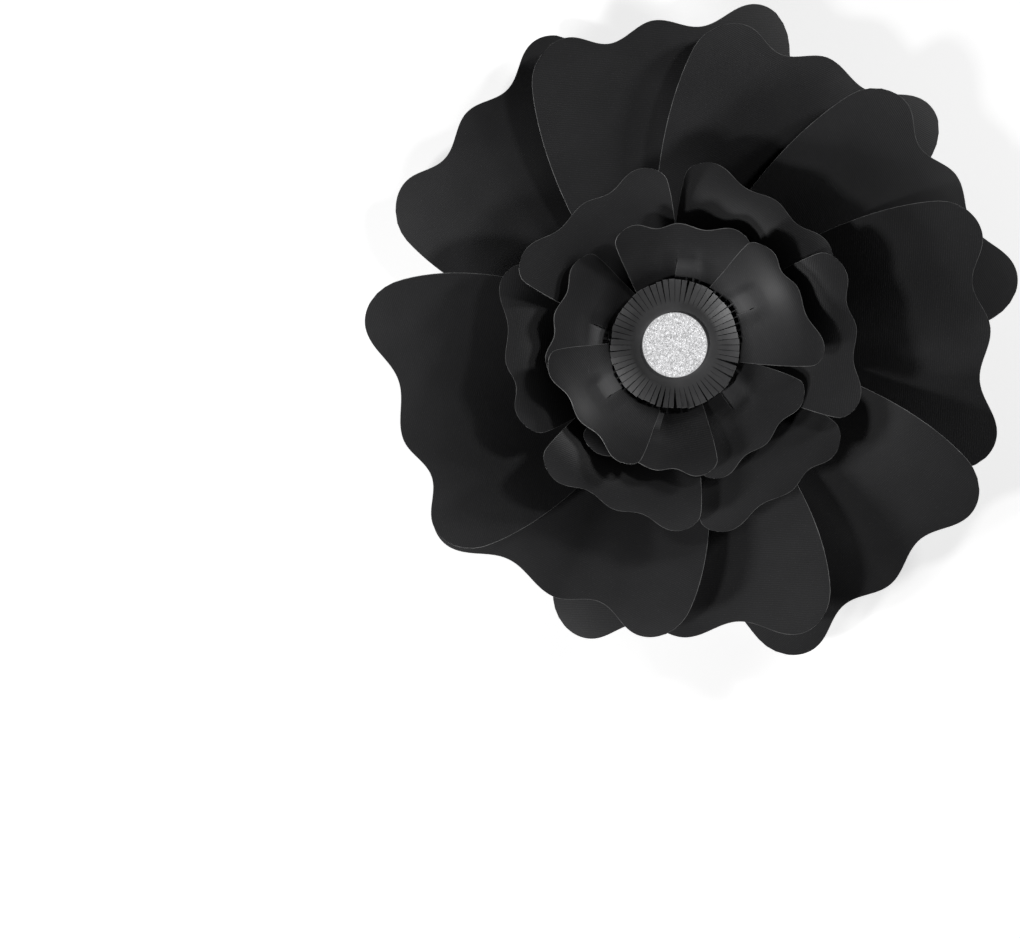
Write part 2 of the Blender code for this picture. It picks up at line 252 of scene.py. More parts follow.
class MiddleLayer(bpy.types.PropertyGroup):
    """Cut and cup of the six middle petals."""

    reach: metres("Reach", 0.094, "Distance of the petals' tips from the axis")
    half_width: metres("Half width", 0.045, "Half width of a petal")
    side_taper: number("Side taper", 1.2, "How late a petal's sides narrow towards its base")
    base_radius: metres("Base", 0.007, "Distance of a petal's base from the axis")
    base_half_width: metres("Base half width", 0.0095, "Half width of a petal's base")
    flat_radius: metres("Flat", 0.021, "Radius up to which the layer lies flat on its disc")
    peak_radius: metres("Peak", 0.092, "Radius at which the cup stops rising")
    rise: metres("Rise", 0.038, "Height of the cup")
    roll_height: metres("Roll", 0.0045, "How far a petal's sides roll up or down")
    slit_end: metres("Slit", 0.036, "Distance of the slit's end from the axis")
    slit_lap: metres("Lap", 0.004, "How far each side of the slit laps at the base")
    valley: metres("Valley", 0.0033, "Depth of the scallops")
    corner_width: metres("Corner width", 0.0135, "Width of a corner's rounding")
    corner_length: metres("Corner length", 0.0125, "Length of a corner's rounding")
    bow: metres("Bow", 0.0015, "How far the corners lie back from the middle")


class InnerLayer(bpy.types.PropertyGroup):
    """Cut and cup of the six inner petals."""

    reach: metres("Reach", 0.068, "Distance of the petals' tips from the axis")
    half_width: metres("Half width", 0.036, "Half width of a petal")
    side_taper: number("Side taper", 1.2, "How late a petal's sides narrow towards its base")
    base_radius: metres("Base", 0.006, "Distance of a petal's base from the axis")
    base_half_width: metres("Base half width", 0.0085, "Half width of a petal's base")
    flat_radius: metres("Flat", 0.023, "Radius up to which the layer lies flat on its disc")
    peak_radius: metres("Peak", 0.073, "Radius at which the cup stops rising")
    rise: metres("Rise", 0.0365, "Height of the cup")
    roll_height: metres("Roll", 0.0036, "How far a petal's sides roll up or down")
    slit_end: metres("Slit", 0.047, "Distance of the slit's end from the axis")
    slit_lap: metres("Lap", 0.005, "How far each side of the slit laps at the base")
    press: metres("Press", 0.0014, "How far the flap beside the slit is pressed down")
    valley: metres("Valley", 0.0027, "Depth of the scallops")
    corner_width: metres("Corner width", 0.0105, "Width of a corner's rounding")
    corner_length: metres("Corner length", 0.0095, "Length of a corner's rounding")
    bow: metres("Bow", 0.0018, "How far the corners lie back from the middle")


class CentreSizes(bpy.types.PropertyGroup):
    """Sizes of the fringed centre and the glitter disc."""

    root_radius: metres("Root", 0.0224, "Radius at which the fringe strips start")
    strip_length: metres("Strip", 0.0145, "Length of a fringe strip")
    slit_width: metres("Slit", 0.00022, "Width of the cut between two strips at its root")
    wide_cut: metres("Wide cut", 0.0009, "How much wider the open cuts are at the tips")
    bend: angle("Bend", 34.0, "How far the strips are bent up")
    strips: count("Strips", 60, "Number of fringe strips", 12, 120)
    glitter_radius: metres("Glitter disc", 0.0174, "Radius of the glitter disc")
    flake: metres("Flake", 0.00042, "Half width of a glitter flake")
    flakes: count("Flakes", 4200, "Number of glitter flakes", 0, 20000)


class CardFinish(bpy.types.PropertyGroup):
    """Thickness, colours and emboss of the card."""

    thickness: metres("Card", 0.0004, "Thickness of the petals' card")
    board: metres("Board", 0.0008, "Thickness of the glued discs")
    card: colour("Card", (0.040, 0.040, 0.0415), "Colour of the black card")
    # Painted highlight: the pressed flaps' colour is far lighter than the card's, for the light they
    # catch
    pressed: colour("Pressed card", (0.20, 0.20, 0.205), "Colour of the flaps that are pressed flat")
    # Painted sheen: the fringe's colour is far lighter than the card's, for the light on the flat centre
    fringe: colour("Fringe", (0.15, 0.15, 0.153), "Colour of the fringe's card")
    edge: colour("Cut edge", (0.30, 0.30, 0.30), "Colour of the card's cut edges")
    backing: colour("Board", (0.020, 0.019, 0.018), "Colour of the glued discs")
    silver: colour("Glitter", (0.84, 0.84, 0.85), "Colour of the glitter")
    rib_pitch: metres("Ribs", 0.00095, "Distance between the embossed ribs")
    rib_height: metres("Rib height", 0.00003, "Height of the embossed ribs")
    grain: metres("Grain", 0.00007, "Height of the card's fine grain")


class StudioLight(bpy.types.PropertyGroup):
    """Lamps and floor."""

    key: watts("Key lamp", 6.6, "Power of the lamp at the lower left")
    far: watts("Far lamp", 4.0, "Power of the lamp at the upper right")
    low_key: watts("Low key lamp", 13.0, "Power of the low lamp at the lower left")
    low_far: watts("Low far lamp", 9.0, "Power of the low lamp at the upper right")
    sky: number("Sky", 0.002, "Strength of the light from all round")
    floor: colour("Floor", (0.90, 0.90, 0.90), "Colour of the floor")


class FlowerSettings(bpy.types.PropertyGroup):
    """All of the flower's settings."""

    outer: bpy.props.PointerProperty(type=OuterLayer, name="Outer petals", description="Outer layer")
    middle: bpy.props.PointerProperty(type=MiddleLayer, name="Middle petals", description="Middle layer")
    inner: bpy.props.PointerProperty(type=InnerLayer, name="Inner petals", description="Inner layer")
    centre: bpy.props.PointerProperty(type=CentreSizes, name="Centre", description="Fringe and glitter")
    finish: bpy.props.PointerProperty(type=CardFinish, name="Card", description="Card and its finish")
    light: bpy.props.PointerProperty(type=StudioLight, name="Light", description="Lamps and floor")


# Materials

def new_material(name):
    """Return an empty node material, its node tree and its Principled shader."""
    material = bpy.data.materials.new(name)
    material.use_nodes = True
    tree = material.node_tree
    return material, tree, tree.nodes["Principled BSDF"]


def flat_place(tree):
    """Return the place on the card as it was cut flat."""
    node = tree.nodes.new("ShaderNodeUVMap")
    node.uv_map = "flat_card"
    return node.outputs["UV"]


def vertex_value(tree, name):
    """Return a value that the mesh holds at its vertices."""
    node = tree.nodes.new("ShaderNodeAttribute")
    node.attribute_name = name
    return node.outputs["Fac"]


def mix_colours(tree, factor, first, second):
    """Mix two colours by a factor and return the resulting socket."""
    mix = tree.nodes.new("ShaderNodeMix")
    mix.data_type = "RGBA"
    tree.links.new(factor, mix.inputs["Factor"])
    for socket, value in ((mix.inputs[6], first), (mix.inputs[7], second)):
        if isinstance(value, tuple):
            socket.default_value = value
        else:
            tree.links.new(value, socket)
    return mix.outputs[2]


def combine(tree, operation, first, second):
    """Combine two values and return the resulting socket."""
    node = tree.nodes.new("ShaderNodeMath")
    node.operation = operation
    for socket, value in zip(node.inputs, (first, second)):
        if isinstance(value, float):
            socket.default_value = value
        else:
            tree.links.new(value, socket)
    return node.outputs[0]


def spread(tree, value, old, new):
    """Map a value from one range to another and return the resulting socket."""
    node = tree.nodes.new("ShaderNodeMapRange")
    tree.links.new(value, node.inputs["Value"])
    node.inputs["From Min"].default_value, node.inputs["From Max"].default_value = old
    node.inputs["To Min"].default_value, node.inputs["To Max"].default_value = new
    return node.outputs["Result"]


def noise(tree, place, scale, detail=2.0, roughness=0.5):
    """Return the value of a noise texture at a place."""
    node = tree.nodes.new("ShaderNodeTexNoise")
    node.inputs["Scale"].default_value = scale
    node.inputs["Detail"].default_value = detail
    node.inputs["Roughness"].default_value = roughness
    tree.links.new(place, node.inputs["Vector"])
    return node.outputs["Fac"]


def emboss(tree, shader, height, distance):
    """Give a shader the relief of a height value times a distance."""
    bump = tree.nodes.new("ShaderNodeBump")
    bump.inputs["Strength"].default_value = 1.0
    bump.inputs["Distance"].default_value = distance
    tree.links.new(height, bump.inputs["Height"])
    tree.links.new(bump.outputs["Normal"], shader.inputs["Normal"])


def shade(rgb, brightness):
    """Return a colour made lighter or darker, with its alpha."""
    return tuple(channel * brightness for channel in rgb) + (1.0,)


def rib_wave(tree, place, pitch):
    """Return the card's ribs: slightly wavering bands across the petal."""
    wave = tree.nodes.new("ShaderNodeTexWave")
    wave.wave_type = "BANDS"
    wave.bands_direction = "Y"
    wave.inputs["Scale"].default_value = WAVE_PITCH / pitch
    wave.inputs["Distortion"].default_value = 5.0
    wave.inputs["Detail"].default_value = 2.0
    wave.inputs["Detail Scale"].default_value = 0.35
    tree.links.new(place, wave.inputs["Vector"])
    return wave.outputs["Fac"]


def embossed_card(finish):
    """Return the black card: fine embossed ribs across the petal, painted shade in their grooves,
    grain, a painted highlight on the pressed flaps, and pale cut edges.
    """
    material, tree, shader = new_material("embossed_black_card")
    place = flat_place(tree)
    ribs = rib_wave(tree, place, finish.rib_pitch)
    grain = noise(tree, place, scale=1500.0, detail=3.0, roughness=0.6)
    patches = noise(tree, place, scale=28.0, detail=3.0)
    rubbed = noise(tree, place, scale=160.0)

    raised = combine(tree, "MULTIPLY", ribs, finish.rib_height)
    tooth = combine(tree, "MULTIPLY", grain, finish.grain)
    emboss(tree, shader, combine(tree, "ADD", raised, tooth), 1.0)

    patch_tone = spread(tree, patches, PATCH_SPAN, WHOLE)
    card = mix_colours(tree, patch_tone, shade(finish.card, 0.86), shade(finish.card, 1.14))
    # Painted shade: the card is darker in the ribs' grooves, where shade would fall
    painted_groove_shade = spread(tree, ribs, WHOLE, (0.40, 0.0))
    card = mix_colours(tree, painted_groove_shade, card, shade(finish.card, 0.45))
    speck = spread(tree, grain, (0.60, 0.76), (0.0, 0.7))
    card = mix_colours(tree, speck, card, shade(finish.card, 2.4))
    # Painted highlight on the pressed flaps, mixed into the card's colour
    card = mix_colours(tree, vertex_value(tree, "pressed_flap"), card, shade(finish.pressed, 1.0))
    wear = spread(tree, rubbed, (0.35, 0.65), (0.45, 1.0))
    rim = spread(tree, vertex_value(tree, "cut_edge"), (0.35, 0.9), WHOLE)
    card = mix_colours(tree, combine(tree, "MULTIPLY", rim, wear), card, shade(finish.edge, 1.0))
    tree.links.new(card, shader.inputs["Base Color"])
    tree.links.new(spread(tree, grain, NOISE_SPAN, (0.42, 0.52)), shader.inputs["Roughness"])
    shader.inputs["Specular IOR Level"].default_value = 0.2
    return material


def fringe_card(finish):
    """Return the fringe's smoother card, painted lighter as a sheen, with fine grain and pale cut tips.
    """
    material, tree, shader = new_material("satin_fringe_card")
    place = flat_place(tree)
    grain = noise(tree, place, scale=1200.0, detail=3.0, roughness=0.6)
    patch_tone = spread(tree, noise(tree, place, scale=90.0), PATCH_SPAN, WHOLE)
    # The fringe's lighter colour is a painted sheen
    card = mix_colours(tree, patch_tone, shade(finish.fringe, 0.88), shade(finish.fringe, 1.12))
    rim = spread(tree, vertex_value(tree, "cut_edge"), (0.2, 0.9), (0.0, 0.6))
    card = mix_colours(tree, rim, card, shade(finish.edge, 1.0))
    tree.links.new(card, shader.inputs["Base Color"])
    tree.links.new(spread(tree, grain, NOISE_SPAN, (0.44, 0.56)), shader.inputs["Roughness"])
    emboss(tree, shader, grain, 0.5 * finish.grain)
    return material


def grey_board(finish):
    """Return the plain board of the glued discs, with faint fibres."""
    material, tree, shader = new_material("backing_board")
    place = tree.nodes.new("ShaderNodeTexCoord").outputs["Object"]
    fibres = noise(tree, place, scale=900.0, detail=4.0, roughness=0.65)
    patch_tone = spread(tree, noise(tree, place, scale=60.0), PATCH_SPAN, WHOLE)
    board = mix_colours(tree, patch_tone, shade(finish.backing, 0.8), shade(finish.backing, 1.25))
    tree.links.new(board, shader.inputs["Base Color"])
    tree.links.new(spread(tree, fibres, NOISE_SPAN, (0.7, 0.9)), shader.inputs["Roughness"])
    emboss(tree, shader, fibres, BOARD_TOOTH)
    return material


def glitter_finish(finish):
    """Return the silver glitter, each flake a little lighter or darker than the next, with painted glow.
    """
    material, tree, shader = new_material("silver_glitter_flakes")
    tone = vertex_value(tree, "flake_tone")
    silver = mix_colours(tree, tone, shade(finish.silver, 0.62), shade(finish.silver, 1.2))
    tree.links.new(silver, shader.inputs["Base Color"])
    shader.inputs["Metallic"].default_value = 0.1
    # Painted glow: the glitter gives off light of its own, more on its lighter flakes
    shader.inputs["Emission Color"].default_value = shade(finish.silver, 1.0)
    tree.links.new(spread(tree, tone, (0.1, 1.0), (0.25, 0.75)), shader.inputs["Emission Strength"])
    place = tree.nodes.new("ShaderNodeTexCoord").outputs["Object"]
    dust = noise(tree, place, scale=4000.0, roughness=0.6)
    tree.links.new(spread(tree, dust, NOISE_SPAN, (0.22, 0.42)), shader.inputs["Roughness"])
    return material


def white_floor(light):
    """Return the floor's white, which is lighter where it is seen and clear from below."""
    material, tree, shader = new_material("white_floor")
    place = tree.nodes.new("ShaderNodeTexCoord").outputs["Object"]
    cloud = noise(tree, place, scale=3.0)
    tone = mix_colours(tree, cloud, shade(light.floor, 0.995), shade(light.floor, 1.0))
    tree.links.new(tone, shader.inputs["Base Color"])
    shader.inputs["Roughness"].default_value = 0.9
    shader.inputs["Specular IOR Level"].default_value = 0.0
    paths = tree.nodes.new("ShaderNodeLightPath")
    seen = combine(tree, "MAXIMUM", paths.outputs["Is Camera Ray"], paths.outputs["Is Glossy Ray"])
    seen = combine(tree, "MAXIMUM", seen, paths.outputs["Is Transmission Ray"])
    shader.inputs["Emission Color"].default_value = WHITE
    tree.links.new(combine(tree, "MULTIPLY", seen, FLOOR_GLOW), shader.inputs["Emission Strength"])
    below = tree.nodes.new("ShaderNodeNewGeometry").outputs["Backfacing"]
    clear = tree.nodes.new("ShaderNodeBsdfTransparent")
    choose = tree.nodes.new("ShaderNodeMixShader")
    tree.links.new(below, choose.inputs["Fac"])
    tree.links.new(shader.outputs["BSDF"], choose.inputs[1])
    tree.links.new(clear.outputs["BSDF"], choose.inputs[2])
    tree.links.new(choose.outputs["Shader"], tree.nodes["Material Output"].inputs["Surface"])
    return material


def shared(name, make, finish):
    """Return a material by its name, made on first use."""
    return bpy.data.materials.get(name) or make(finish)


# Petals

def ease(value, low, high):
    """Return a smooth step from 0 at one value to 1 at another."""
    share = min(1.0, max(0.0, (value - low) / (high - low)))
    return share * share * (3.0 - 2.0 * share)


def soft_turn(turn):
    """Return how far an angle is from the heading, eased to nothing at the heading."""
    return math.hypot(turn, ROLL_SOFTNESS) - ROLL_SOFTNESS


def cup_height(cut, radius):
    """Return the height of a layer's cup at a distance from the axis."""
    share = max(0.0, radius - cut.flat_radius) / (cut.peak_radius - cut.flat_radius)
    return cut.rise * math.sin(0.5 * math.pi * share) ** 2


def cup_steepness(cut, radius):
    """Return the cup's length along its slope for each unit outwards."""
    rise = cup_height(cut, radius + SLOPE_STEP) - cup_height(cut, radius - SLOPE_STEP)
    return math.hypot(1.0, rise / (2 * SLOPE_STEP))


def pressed_share(cut, beside, radius, on_flap):
    """Return how far a point beside the seam is pressed down: wholly on the flap, less across it."""
    if on_flap:
        near_seam = 1.0 - ease(beside, PRESS_WIDTH, 1.6 * PRESS_WIDTH)
    else:
        near_seam = 1.0 - ease(beside, 0.0, PRESS_WIDTH)
    along = ease(radius, cut.flat_radius, cut.slit_end) * (1.0 - ease(radius, cut.slit_end, PRESS_END))
    return near_seam * along


def flap_highlight_share(cut, beside, radius):
    """Return how much of the highlight painted on a pressed flap reaches a point on it."""
    near_seam = 1.0 - ease(beside, 0.8 * PRESS_WIDTH, 2.0 * PRESS_WIDTH)
    return near_seam * (1.0 - ease(radius, 0.88 * cut.slit_end, 1.03 * cut.slit_end))


class Petal:
    """One petal's place and its differences from the rest of its layer."""

    def __init__(self, cut, row, steps, lap_side, card_step, cards_a_level, flap):
        self.cut = cut
        self.heading = math.radians(row.heading)
        self.half_widths = {1: cut.half_width * row.ccw_width, -1: cut.half_width * row.cw_width}
        self.rolls = {1: row.ccw_roll, -1: row.cw_roll}
        self.reach = cut.reach * row.reach
        self.slant = cut.reach * row.slant
        self.steps = steps
        self.last_column = 2 * steps + CORNER_COLUMNS
        self.lap_side = lap_side
        self.card_step = card_step
        self.level_height = row.level * (cards_a_level * card_step)
        self.pressed_side, self.painted_highlight = flap
        self.corner = self.reach - cut.corner_length * (1.0 - math.cos(CORNER_TURN))

    def roll(self, across, along):
        """Return how far the petal's edge is rolled up or down at a point."""
        cut = self.cut
        radius = math.hypot(across, along)
        turn = math.degrees(math.atan2(across, along))
        share = max(0.0, radius - cut.flat_radius) / (self.reach - cut.flat_radius)
        up_or_down = self.rolls[1 if turn > 0 else -1]
        lift = soft_turn(turn) / soft_turn(ROLL_ANGLE)
        return up_or_down * cut.roll_height * lift * share ** ROLL_POWER

    def outer_edge(self, column):
        """Return a point (across, along) of the scalloped outer edge."""
        cut = self.cut
        last_tip = 2 * self.steps
        side = -1 if column < 0 else 1
        steps_out = abs(column)
        pitch = self.half_widths[side] - cut.corner_width
        across = pitch * min(steps_out, last_tip) / last_tip
        wave = 0.5 * (1.0 - math.cos(math.pi * min(steps_out, last_tip) / self.steps))
        along = self.reach - cut.valley * wave
        if steps_out > last_tip:
            turn = CORNER_TURN * (steps_out - last_tip) / CORNER_COLUMNS
            across += cut.corner_width * math.sin(turn)
            along -= cut.corner_length * (1.0 - math.cos(turn))
        lean = across / pitch
        along -= cut.bow * lean ** 2
        along -= side * self.slant * lean
        return side * across, along

    def side_width(self, side, along):
        """Return one side's half width at a distance along the petal, up to its corner."""
        cut = self.cut
        full = self.half_widths[side]
        widest = self.reach - cut.corner_length
        if along > widest:
            turn = min(1.0, (along - widest) / cut.corner_length)
            return full - cut.corner_width * (1.0 - math.sqrt(1.0 - turn ** 2))
        share = (widest - along) / (widest - cut.base_radius)
        return full - (full - cut.base_half_width) * share ** cut.side_taper

    def roundness(self, row, place):
        """Return how far a row follows a circle round the axis, from 1 at the slit to 0 outside."""
        if row == 0:
            return 0.0
        return min(1.0, (self.corner - place) / (self.corner - self.cut.slit_end))

    def row_side(self, side, place, roundness):
        """Return where a row meets one side, as half width and distance along."""
        low, high = 0.0, place
        for _ in range(HALVINGS):
            along = 0.5 * (low + high)
            width = self.side_width(side, along)
            arc = math.sqrt(max(place ** 2 - width ** 2, 0.0))
            if along < roundness * arc + (1.0 - roundness) * place:
                low = along
            else:
                high = along
        return self.side_width(side, along), along

    def sheet_place(self, row, place, roundness, side_place, column):
        """Return where a grid point lies on the flat card before it is lapped (across, along)."""
        side_width, side_along = side_place
        side = -1 if column < 0 else 1
        edge_across, edge_along = self.outer_edge(column)
        across = side_width * edge_across / abs(self.outer_edge(side * self.last_column)[0])
        if side_width >= place:
            sag = (across / side_width) ** 2
        else:
            full = place - math.sqrt(place ** 2 - side_width ** 2)
            sag = (place - math.sqrt(place ** 2 - across ** 2)) / full
        along = place - (place - side_along) * sag
        if row > 0:
            along += (edge_along - self.corner) * (1.0 - roundness)
        return across, along

    def lap_shift(self, place, column, half):
        """Return how far a point beside the slit moves over it: lapped at the base, open at the end."""
        run = self.cut.slit_end - SLIT_OPENING
        share = (run - place) / (run - self.cut.base_radius)
        near_slit = max(0.0, 1.0 - abs(column))
        return half * near_slit * (self.cut.slit_lap * share - 0.5 * GLUE_GAP * (1.0 - share))

    def point(self, row, place, roundness, side_place, column, flap):
        """Return where a grid point ends up (across, along, up), and how much painted highlight it gets.
        """
        cut = self.cut
        across, along = self.sheet_place(row, place, roundness, side_place, column)
        beside_slit = place < cut.slit_end - TINY
        half = flap if flap else (column > 0) - (column < 0)
        if beside_slit:
            across -= self.lap_shift(place, column, half)
        radius = math.hypot(across, along)
        steepness = cup_steepness(cut, radius)
        height = cup_height(cut, radius) + self.roll(across, along)
        # Painted highlight on the pressed flap, which fades away from the seam and past the slit's end
        painted_highlight = 0.0
        if self.pressed_side:
            on_flap = half == self.pressed_side
            height -= cut.press * pressed_share(cut, abs(across), radius, on_flap)
            if on_flap:
                painted_highlight = self.painted_highlight * flap_highlight_share(cut, abs(across), radius)
        height += self.level_height * steepness
        if beside_slit and half == self.lap_side:
            past_flat = max(0.0, place - cut.flat_radius) / (cut.slit_end - cut.flat_radius)
            fade = 1.0 - past_flat * (column / self.last_column) ** 2
            height += self.card_step * steepness * fade
        return across, along, height, painted_highlight


def even_places(low, high, parts):
    """Return places from just past one end up to the other."""
    return [low + (high - low) * step / parts for step in range(1, parts + 1)]


def petal_rows(petal):
    """Return the rows' places along a petal, base first, with a narrow row at the outer edge."""
    cut = petal.cut
    rows = [cut.base_radius]
    rows += even_places(cut.base_radius, cut.flat_radius, FLAT_ROWS)
    rows += even_places(cut.flat_radius, cut.slit_end, SLIT_ROWS)
    outer = even_places(cut.slit_end, petal.corner, CUP_ROWS)
    return rows + outer[:-1] + [petal.corner - EDGE_STRIP, petal.corner]


def petal_columns(petal):
    """Return the columns' places across a petal, with narrow ones along its slit and its sides."""
    last = petal.last_column
    half = even_places(0.0, last, last * COLUMN_PARTS)
    corner_column = petal.cut.corner_width * math.cos(CORNER_TURN) * CORNER_TURN / CORNER_COLUMNS
    half.insert(-1, last - EDGE_STRIP / corner_column)
    half.insert(0, half[0] * SEAM_COLUMN)
    return [-column for column in reversed(half)] + [0.0] + half


def slit_sheet(petal, stack_height):
    """Cut one petal flat from a grid, slit it, and bend it into its layer's cup."""
    rows = petal_rows(petal)
    columns = petal_columns(petal)
    last_row, last_column = len(rows) - 1, len(columns) - 1
    middle = last_column // 2
    slit_end_row = next(row for row, place in enumerate(rows) if place > petal.cut.slit_end - TINY)
    bm = bmesh.new()
    bmesh.ops.create_grid(bm, x_segments=last_column, y_segments=last_row, size=1.0)
    flat = bm.loops.layers.uv.new("flat_card")
    near = bm.verts.layers.float.new("cut_edge")
    # The vertices hold the painted highlight of the pressed flaps
    pressed = bm.verts.layers.float.new("pressed_flap")

    def grid_place(vertex):
        """Return a vertex's row and column, counted from the base's counter-clockwise corner."""
        return round((vertex.co.y + 1.0) * last_row / 2), round((1.0 - vertex.co.x) * last_column / 2)

    slit = []
    for edge in bm.edges:
        ends = [grid_place(vertex) for vertex in edge.verts]
        if all(column == middle for _, column in ends) and max(row for row, _ in ends) <= slit_end_row:
            slit.append(edge)
    bmesh.ops.split_edges(bm, edges=slit)

    roundnesses = [petal.roundness(row, place) for row, place in enumerate(rows)]
    sides = []
    for place, roundness in zip(rows, roundnesses):
        sides.append({side: petal.row_side(side, place, roundness) for side in (-1, 1)})

    turn = Matrix.Rotation(petal.heading, 4, "Z")
    targets = []
    for vertex in bm.verts:
        row, column = grid_place(vertex)
        flap = 0
        if column == middle and row < slit_end_row:
            flap = -1 if vertex.link_faces[0].calc_center_median().x > 0 else 1
        side_place = sides[row][-1 if columns[column] < 0 else 1]
        across, along, height, painted_highlight = petal.point(
            row, rows[row], roundnesses[row], side_place, columns[column], flap,
        )
        target = turn @ Vector((along, across, stack_height + height))
        on_edge = row in (0, last_row) or column in (0, last_column) or flap != 0
        targets.append((vertex, target, (across, along), 1.0 if on_edge else 0.0, painted_highlight))
    for vertex, target, place, edge, painted_highlight in targets:
        vertex.co = target
        vertex[near] = edge
        vertex[pressed] = painted_highlight
        for loop in vertex.link_loops:
            loop[flat].uv = place
    return bm


def settle(name, bm, material, thickness=0.0):
    """Make a mesh object, thicken it as card, and shade it smooth up to its cut edges."""
    mesh = bpy.data.meshes.new(name)
    bm.to_mesh(mesh)
    bm.free()
    obj = bpy.data.objects.new(name, mesh)
    bpy.context.scene.collection.objects.link(obj)
    mesh.materials.append(material)
    if thickness:
        solidify = obj.modifiers.new("card", "SOLIDIFY")
        solidify.thickness = thickness
        solidify.offset = 0.0
        solidify.use_even_offset = False
        bpy.context.view_layer.update()
        thick = bpy.data.meshes.new_from_object(obj.evaluated_get(bpy.context.evaluated_depsgraph_get()))
        obj.modifiers.clear()
        obj.data = thick
        thick.name = name
        bpy.data.meshes.remove(mesh)
    obj.data.shade_smooth()
    obj.data.set_sharp_from_angle(angle=SHARP_ANGLE)
    return obj


def make_layer(flower, cut, rows, node, steps, lap_side, cards_a_level):
    """Make all petals of a layer on the height where the frame has them.

    The steps are the cut's columns from a lobe's tip to its valley, the lap side is the side of the
    slit that lies on top, and the cards a level are how far each level of the stack lifts a petal.
    """
    finish = flower.finish
    card = shared("embossed_black_card", embossed_card, finish)
    card_step = finish.thickness + GLUE_GAP
    lowest = min(range(len(rows)), key=lambda place: rows[place].level)
    stack_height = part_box(f"{node}_{lowest + 1}")[0].z + 0.5 * finish.thickness
    flaps = PRESSED_FLAPS if node == "inner_petal" else [NO_FLAP] * len(rows)
    for number_in_layer, (row, flap) in enumerate(zip(rows, flaps), start=1):
        petal = Petal(cut, row, steps, lap_side, card_step, cards_a_level, flap)
        bm = slit_sheet(petal, stack_height)
        piece = settle(f"{node}_{number_in_layer}_card", bm, card, finish.thickness)
        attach(piece, ROOT)
        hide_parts(f"{node}_{number_in_layer}")


class PAPERFLOWER_OT_outer_petals(bpy.types.Operator):
    """Make the nine outer petals, each lapped over the one before it"""

    bl_idname = "paperflower.outer_petals"
    bl_label = "Outer petals"

    def execute(self, context):
        flower = context.scene.paper_flower
        make_layer(
            flower, flower.outer, OUTER_PETALS, "outer_petal", steps=3, lap_side=1, cards_a_level=1,
        )
        return {"FINISHED"}


class PAPERFLOWER_OT_middle_petals(bpy.types.Operator):
    """Make the six middle petals, alternately low and high"""

    bl_idname = "paperflower.middle_petals"
    bl_label = "Middle petals"

    def execute(self, context):
        flower = context.scene.paper_flower
        make_layer(
            flower, flower.middle, MIDDLE_PETALS, "middle_petal", steps=2, lap_side=1, cards_a_level=2,
        )
        return {"FINISHED"}


class PAPERFLOWER_OT_inner_petals(bpy.types.Operator):
    """Make the six inner petals round the fringe"""

    bl_idname = "paperflower.inner_petals"
    bl_label = "Inner petals"

    def execute(self, context):
        flower = context.scene.paper_flower
        make_layer(
            flower, flower.inner, INNER_PETALS, "inner_petal", steps=2, lap_side=-1, cards_a_level=2,
        )
        return {"FINISHED"}


# Discs and fringe

def disc_mesh(radius, bottom, top, sides, rim, rim_steps):
    """Return a disc between two heights with rounded rims."""
    bm = bmesh.new()
    bmesh.ops.create_cone(
        bm, cap_ends=True, segments=sides, radius1=radius, radius2=radius, depth=top - bottom,
    )
    bmesh.ops.translate(bm, verts=bm.verts, vec=(0.0, 0.0, 0.5 * (bottom + top)))
    rims = [edge for edge in bm.edges if abs(edge.verts[0].co.z - edge.verts[1].co.z) < TINY]
    bmesh.ops.bevel(bm, geom=rims, offset=rim, segments=rim_steps, profile=0.5, affect="EDGES")
    return bm


class PAPERFLOWER_OT_discs(bpy.types.Operator):
    """Make the three board discs that the layers are glued to"""

    bl_idname = "paperflower.discs"
    bl_label = "Board discs"

    def execute(self, context):
        finish = context.scene.paper_flower.finish
        board = shared("backing_board", grey_board, finish)
        for node in ("back_disc", "middle_disc", "inner_disc"):
            low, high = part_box(node)
            bm = disc_mesh(high.x, low.z, high.z, BOARD_SIDES, 0.25 * finish.board, 3)
            piece = settle(f"{node}_board", bm, board)
            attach(piece, ROOT)
            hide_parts(node)
        return {"FINISHED"}


def strip_bend(centre, strip):
    """Return how far a strip is bent up. Neighbouring strips lie in loose groups."""
    turn = 2 * math.pi * strip / centre.strips
    play = math.sin(3 * turn + 0.6) + 0.5 * math.sin(11 * turn)
    return centre.bend + BEND_PLAY * play


def strip_places(centre):
    """Return the rows' places along a strip as shares of it, with a narrow row at its tip."""
    places = even_places(0.0, 1.0, FRINGE_STEPS)
    places.insert(-1, 1.0 - EDGE_STRIP / centre.strip_length)
    return places


def bend_strip(bm, centre, strip, roots, height, luck):
    """Add one strip that bends up from its two root corners, and return its tip's corners."""
    pitch = 2 * math.pi / centre.strips
    middle = (strip + 0.5) * pitch
    bend = strip_bend(centre, strip)
    lean = luck.uniform(-STRIP_LEAN, STRIP_LEAN)
    twist = luck.uniform(-STRIP_TWIST, STRIP_TWIST)
    end = centre.strip_length * luck.uniform(SHORTEST_STRIP, 1.0)
    along = Vector((math.cos(middle), math.sin(middle), 0.0))
    side = Vector((-math.sin(middle), math.cos(middle), 0.0))
    cuts = [(-1, strip in WIDE_CUTS), (1, (strip + 1) % centre.strips in WIDE_CUTS)]
    out, up, reached = centre.root_radius * math.cos(0.5 * pitch), height, 0.0
    row = roots
    for place in strip_places(centre):
        slope = bend * min(1.0, BEND_START + place * BEND_GROWTH)
        out += end * (place - reached) * math.cos(slope)
        up += end * (place - reached) * math.sin(slope)
        reached = place
        tip = []
        for sign, is_open in cuts:
            cut = centre.slit_width * (1.0 + place) + is_open * centre.wide_cut * place
            wide = sign * (out * math.tan(0.5 * pitch) - 0.5 * cut)
            rise = Vector((0.0, 0.0, up + wide * twist * place))
            tip.append(bm.verts.new(along * out + side * (lean * end * place + wide) + rise))
        bm.faces.new((row[0], tip[0], tip[1], row[1]))
        row = tip
    return row


